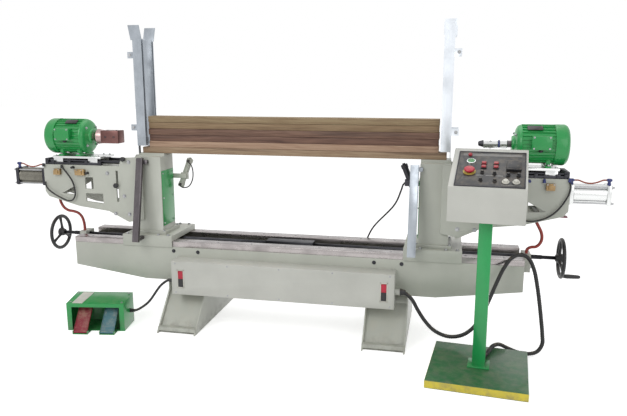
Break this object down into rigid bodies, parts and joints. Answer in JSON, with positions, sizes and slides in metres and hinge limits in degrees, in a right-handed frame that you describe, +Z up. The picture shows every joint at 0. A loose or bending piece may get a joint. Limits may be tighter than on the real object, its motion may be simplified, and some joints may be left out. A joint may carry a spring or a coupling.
{
  "type": "horizontal boring machine",
  "caption": "Boring machine with a head at each end of one bed that drills both ends of timber billets from a magazine; with a desk on a stand and a foot switch.",
  "frame": {"origin": "middle of the machine's floor box, on the floor, with the free cords left out", "axes": "+X along the bed to the operator's right, +Y away from the operator, +Z up"},
  "size_m": [3.432, 1.1082, 1.725],
  "materials": {
    "machine_paint": "light warm grey gloss enamel",
    "green_paint": "bright green gloss enamel",
    "dark_green_paint": "dark green satin enamel, scuffed",
    "ground_steel": "ground and oiled",
    "dark_steel": "dark bare steel",
    "galvanised": "bright zinc sheet",
    "cast_aluminium": "satin anodised",
    "black_plastic": "fine grained black",
    "red_plastic": "smooth red",
    "green_plastic": "smooth green",
    "dial_plastic": "smooth ivory",
    "red_pad": "ribbed dark red",
    "blue_pad": "ribbed grey blue",
    "black_rubber": "corrugated sheath",
    "red_conduit": "red brown sheath",
    "timber": "sawn hardwood"
  },
  "bodies": {
    "frame": {"bed": "machine_paint", "front_way": "ground_steel", "rear_way": "ground_steel", "left_leg": "machine_paint", "right_leg": "machine_paint", "power_box": "machine_paint", "left_screw_bracket": "machine_paint", "right_screw_bracket": "machine_paint", "screw_centre_bearing": "black_plastic", "lowest_billet": "timber", "billet_stack": "timber", "stand_base": "dark_green_paint", "stand_pole": "green_paint", "control_box": "machine_paint", "control_panel": "black_plastic", "pedal_guard": "green_paint", "stand_cable": "black_rubber", "pedal_cable": "black_rubber", "clamp_hose": "black_rubber", "left_conduit": "red_conduit", "right_conduit": "red_conduit"},
    "left_head": {"left_saddle": "machine_paint", "left_column": "machine_paint", "left_column_cover": "green_paint", "left_arm": "machine_paint", "left_slide_rods": "ground_steel", "left_feed_cylinder": "cast_aluminium", "left_magazine_front_rail": "galvanised", "left_magazine_rear_rail": "galvanised", "left_clamp_cylinder": "machine_paint", "left_chute_rail": "galvanised"},
    "left_feed": {"left_carriage": "ground_steel", "left_motor": "green_paint"},
    "left_spindle": {"left_spindle": "dark_steel"},
    "left_screw": {"left_handwheel": "black_plastic", "left_leadscrew": "ground_steel"},
    "right_head": {"right_saddle": "machine_paint", "right_column": "machine_paint", "right_column_cover": "green_paint", "right_arm": "machine_paint", "right_slide_rods": "ground_steel", "right_feed_cylinder": "cast_aluminium", "right_magazine_front_rail": "galvanised", "right_magazine_rear_rail": "galvanised", "right_clamp_cylinder": "machine_paint", "right_chute_rail": "galvanised"},
    "right_feed": {"right_carriage": "ground_steel", "right_motor": "green_paint"},
    "right_spindle": {"right_spindle": "dark_steel"},
    "right_screw": {"right_handwheel": "black_plastic", "right_leadscrew": "ground_steel"},
    "crank_grip": {"crank_grip": "black_plastic"},
    "left_power_switch": {"left_power_switch": "red_plastic"},
    "right_power_switch": {"right_power_switch": "red_plastic"},
    "emergency_stop": {"emergency_stop": "red_plastic"},
    "start_button": {"start_button": "green_plastic"},
    "left_dial": {"left_dial": "dial_plastic"},
    "right_dial": {"right_dial": "dial_plastic"},
    "red_pedal": {"red_pedal": "red_pad"},
    "blue_pedal": {"blue_pedal": "blue_pad"}
  },
  "joints": [
    {"name": "left_handwheel_turn", "type": "hinge", "parent": "frame", "child": "left_screw", "pos_m": [-1.5, 0.19811, 0.476], "axis": [-1, 0, 0], "range_deg": [0, 6005]},
    {"name": "left_head_slide", "type": "slide", "parent": "frame", "child": "left_head", "axis": [-1, 0, 0], "range_m": [0, 0.1]},
    {"name": "left_feed", "type": "slide", "parent": "left_head", "child": "left_feed", "axis": [1, 0, 0], "range_m": [0, 0.12]},
    {"name": "left_spindle_spin", "type": "hinge", "parent": "left_feed", "child": "left_spindle", "pos_m": [-1.1, 0.16311, 1.09], "axis": [1, 0, 0], "continuous": true},
    {"name": "right_handwheel_turn", "type": "hinge", "parent": "frame", "child": "right_screw", "pos_m": [1.5, 0.19811, 0.476], "axis": [1, 0, 0], "range_deg": [0, 6005]},
    {"name": "right_head_slide", "type": "slide", "parent": "frame", "child": "right_head", "axis": [1, 0, 0], "range_m": [0, 0.1]},
    {"name": "right_feed", "type": "slide", "parent": "right_head", "child": "right_feed", "axis": [-1, 0, 0], "range_m": [0, 0.12]},
    {"name": "right_spindle_spin", "type": "hinge", "parent": "right_feed", "child": "right_spindle", "pos_m": [1.1, 0.16311, 1.09], "axis": [1, 0, 0], "continuous": true},
    {"name": "crank_grip_spin", "type": "hinge", "parent": "right_screw", "child": "crank_grip", "pos_m": [1.56, 0.19811, 0.376], "axis": [1, 0, 0], "continuous": true},
    {"name": "left_power_rocker", "type": "hinge", "parent": "frame", "child": "left_power_switch", "pos_m": [-0.58, -0.06889, 0.3065], "axis": [1, 0, 0], "range_deg": [-4, 4]},
    {"name": "right_power_rocker", "type": "hinge", "parent": "frame", "child": "right_power_switch", "pos_m": [0.58, -0.06889, 0.3065], "axis": [1, 0, 0], "range_deg": [-4, 4]},
    {"name": "emergency_stop_press", "type": "slide", "parent": "frame", "child": "emergency_stop", "axis": [0.0392, 0.4066, -0.9128], "range_m": [0, 0.005], "stiffness_N_per_m": 900, "springref_m": -0.003},
    {"name": "start_button_press", "type": "slide", "parent": "frame", "child": "start_button", "axis": [0.0392, 0.4066, -0.9128], "range_m": [0, 0.005], "stiffness_N_per_m": 700, "springref_m": -0.003},
    {"name": "left_dial_turn", "type": "hinge", "parent": "frame", "child": "left_dial", "pos_m": [1.14602, -0.35672, 0.96837], "axis": [-0.0392, -0.4066, 0.9128], "range_deg": [-150, 150]},
    {"name": "right_dial_turn", "type": "hinge", "parent": "frame", "child": "right_dial", "pos_m": [1.19181, -0.36113, 0.96837], "axis": [-0.0392, -0.4066, 0.9128], "range_deg": [-150, 150]},
    {"name": "red_pedal_press", "type": "hinge", "parent": "frame", "child": "red_pedal", "pos_m": [-1.12357, -0.25591, 0.012], "axis": [-0.9863, -0.165, 0], "range_deg": [0, 6], "stiffness_Nm_per_rad": 12, "springref_deg": -6.88},
    {"name": "blue_pedal_press", "type": "hinge", "parent": "frame", "child": "blue_pedal", "pos_m": [-0.97168, -0.23049, 0.012], "axis": [-0.9863, -0.165, 0], "range_deg": [0, 6], "stiffness_Nm_per_rad": 12, "springref_deg": -6.88}
  ],
  "couplings": [
    {"joint": "left_handwheel_turn", "follows": "left_head_slide", "rad_per_m": 1047.2},
    {"joint": "right_handwheel_turn", "follows": "right_head_slide", "rad_per_m": 1047.2}
  ]
}
